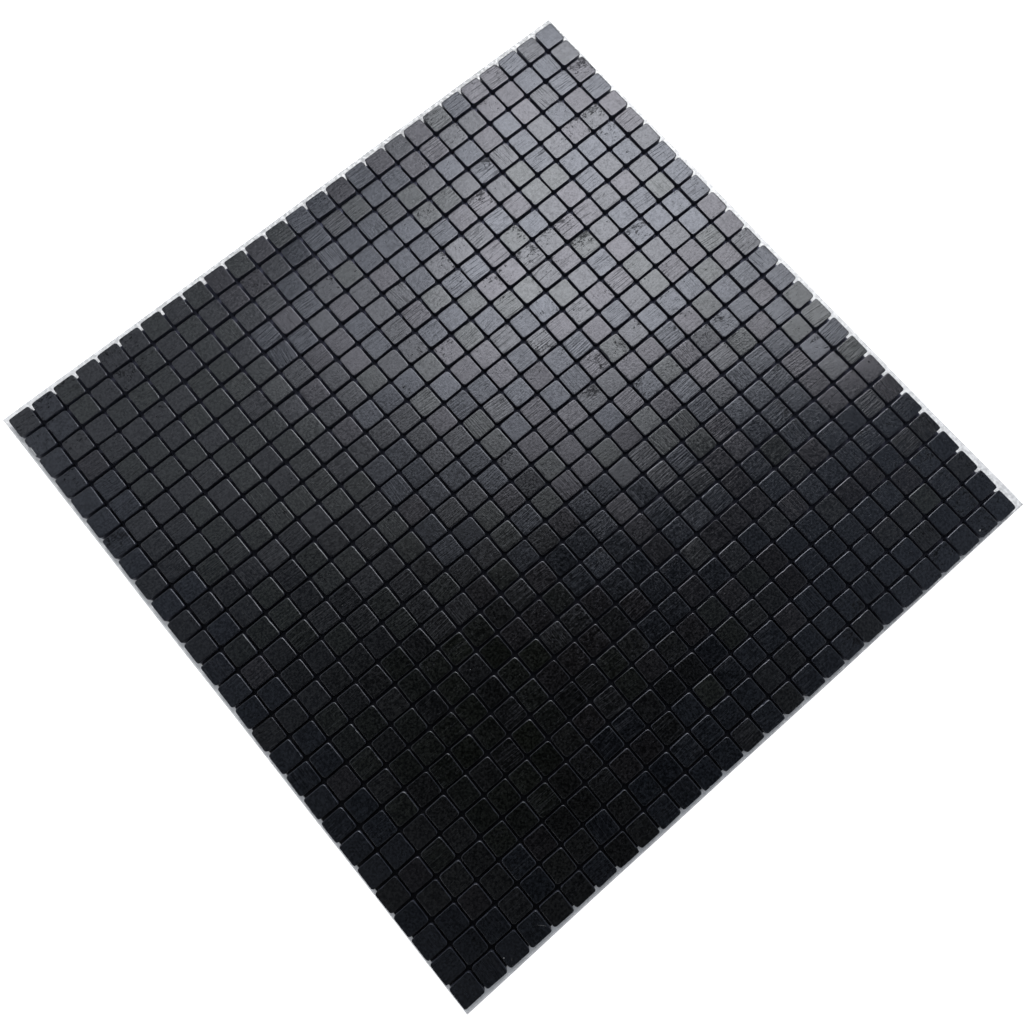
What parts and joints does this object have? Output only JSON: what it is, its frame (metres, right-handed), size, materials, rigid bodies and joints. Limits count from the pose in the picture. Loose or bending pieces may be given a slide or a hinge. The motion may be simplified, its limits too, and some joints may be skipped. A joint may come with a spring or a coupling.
{
  "type": "mosaic tile sheet",
  "caption": "Square sheet of small black honed stone mosaic chips in straight rows, on a black adhesive film with a white release liner under it.",
  "frame": {"origin": "middle of the release liner's underside, where the sheet lies on the floor", "axes": "+Z out of the chips' faces, +X along a row of chips, +Y from row to row"},
  "size_m": [0.3076, 0.3074, 0.0048],
  "materials": {
    "stone": "black honed stone, satin, with fine saw marks and pits",
    "film": "matt black adhesive film",
    "liner": "white coated release paper, satin"
  },
  "bodies": {
    "root": {"release_liner": "liner", "adhesive_film": "film", "chip_row_01": "stone", "chip_row_02": "stone", "chip_row_03": "stone", "chip_row_04": "stone", "chip_row_05": "stone", "chip_row_06": "stone", "chip_row_07": "stone", "chip_row_08": "stone", "chip_row_09": "stone", "chip_row_10": "stone", "chip_row_11": "stone", "chip_row_12": "stone", "chip_row_13": "stone", "chip_row_14": "stone", "chip_row_15": "stone", "chip_row_16": "stone", "chip_row_17": "stone", "chip_row_18": "stone", "chip_row_19": "stone", "chip_row_20": "stone", "chip_row_21": "stone", "chip_row_22": "stone", "chip_row_23": "stone", "chip_row_24": "stone", "chip_row_25": "stone", "chip_row_26": "stone", "chip_row_27": "stone"}
  },
  "joints": []
}
